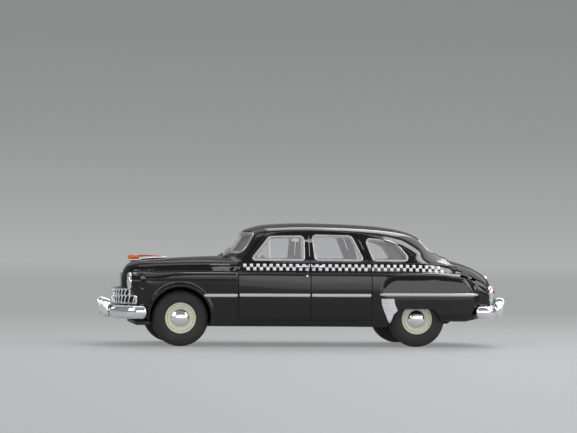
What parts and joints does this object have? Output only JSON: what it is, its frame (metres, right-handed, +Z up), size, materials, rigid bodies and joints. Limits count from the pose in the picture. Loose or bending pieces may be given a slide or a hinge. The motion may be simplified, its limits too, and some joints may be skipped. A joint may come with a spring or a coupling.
{
  "type": "die-cast model taxi cab",
  "caption": "Die-cast scale model of a long black 1950s saloon taxi with a checker band, bright trim and freely turning wheels.",
  "frame": {"origin": "on the floor under the middle of the model", "axes": "+X to the tail (the front faces -X), +Y to the car's right side, +Z up"},
  "size_m": [0.1286, 0.0442, 0.0386],
  "materials": {
    "black_paint": "gloss black lacquer",
    "black_plastic": "moulded matt black",
    "steel": "bare steel",
    "exhaust_grey": "dull grey",
    "trim_mauve": "satin mauve grey",
    "trim_dark": "satin dark brown",
    "ivory": "gloss ivory",
    "chrome": "bright plated",
    "satin_silver": "satin silver",
    "clear": "clear pane",
    "red_clear": "clear red",
    "tyre_black": "soft black",
    "cream": "satin cream",
    "plate_white": "blank plate"
  },
  "bodies": {
    "car": {"body_shell": "black_paint", "base_plate": "black_plastic", "base_screws": "steel", "exhaust": "exhaust_grey", "interior_tub": "trim_dark", "dashboard": "trim_dark", "front_seat": "trim_mauve", "rear_seat": "trim_mauve", "steering_wheel": "ivory", "side_panes": "clear", "side_window_frames": "satin_silver", "windscreen": "clear", "windscreen_frame": "satin_silver", "rear_window": "clear", "rear_window_frame": "satin_silver", "side_strips": "satin_silver", "stone_guards": "satin_silver", "grille": "chrome", "headlamp_rims": "chrome", "headlamp_lenses": "clear", "front_bumper": "chrome", "rear_bumper": "chrome", "front_overriders": "chrome", "rear_overriders": "chrome", "bonnet_ornament": "red_clear", "ornament_fin": "chrome", "tail_lamp_housings": "chrome", "tail_lenses": "red_clear", "boot_handle": "chrome", "rear_number_plate": "plate_white", "door_handles": "chrome", "filler_lid": "black_paint", "bonnet_strips": "chrome", "wipers": "satin_silver"},
    "front_wheels": {"front_tyre_left": "tyre_black", "front_tyre_right": "tyre_black", "front_rims": "cream", "front_hubcaps": "chrome", "front_axle": "steel"},
    "rear_wheels": {"rear_tyre_left": "tyre_black", "rear_tyre_right": "tyre_black", "rear_rims": "cream", "rear_hubcaps": "chrome", "rear_axle": "steel"}
  },
  "joints": [
    {"name": "front_axle_spin", "type": "hinge", "parent": "car", "child": "front_wheels", "pos_m": [-0.04, 0, 0.0088], "axis": [0, 1, 0], "continuous": true},
    {"name": "rear_axle_spin", "type": "hinge", "parent": "car", "child": "rear_wheels", "pos_m": [0.0344, 0, 0.0088], "axis": [0, 1, 0], "continuous": true}
  ]
}
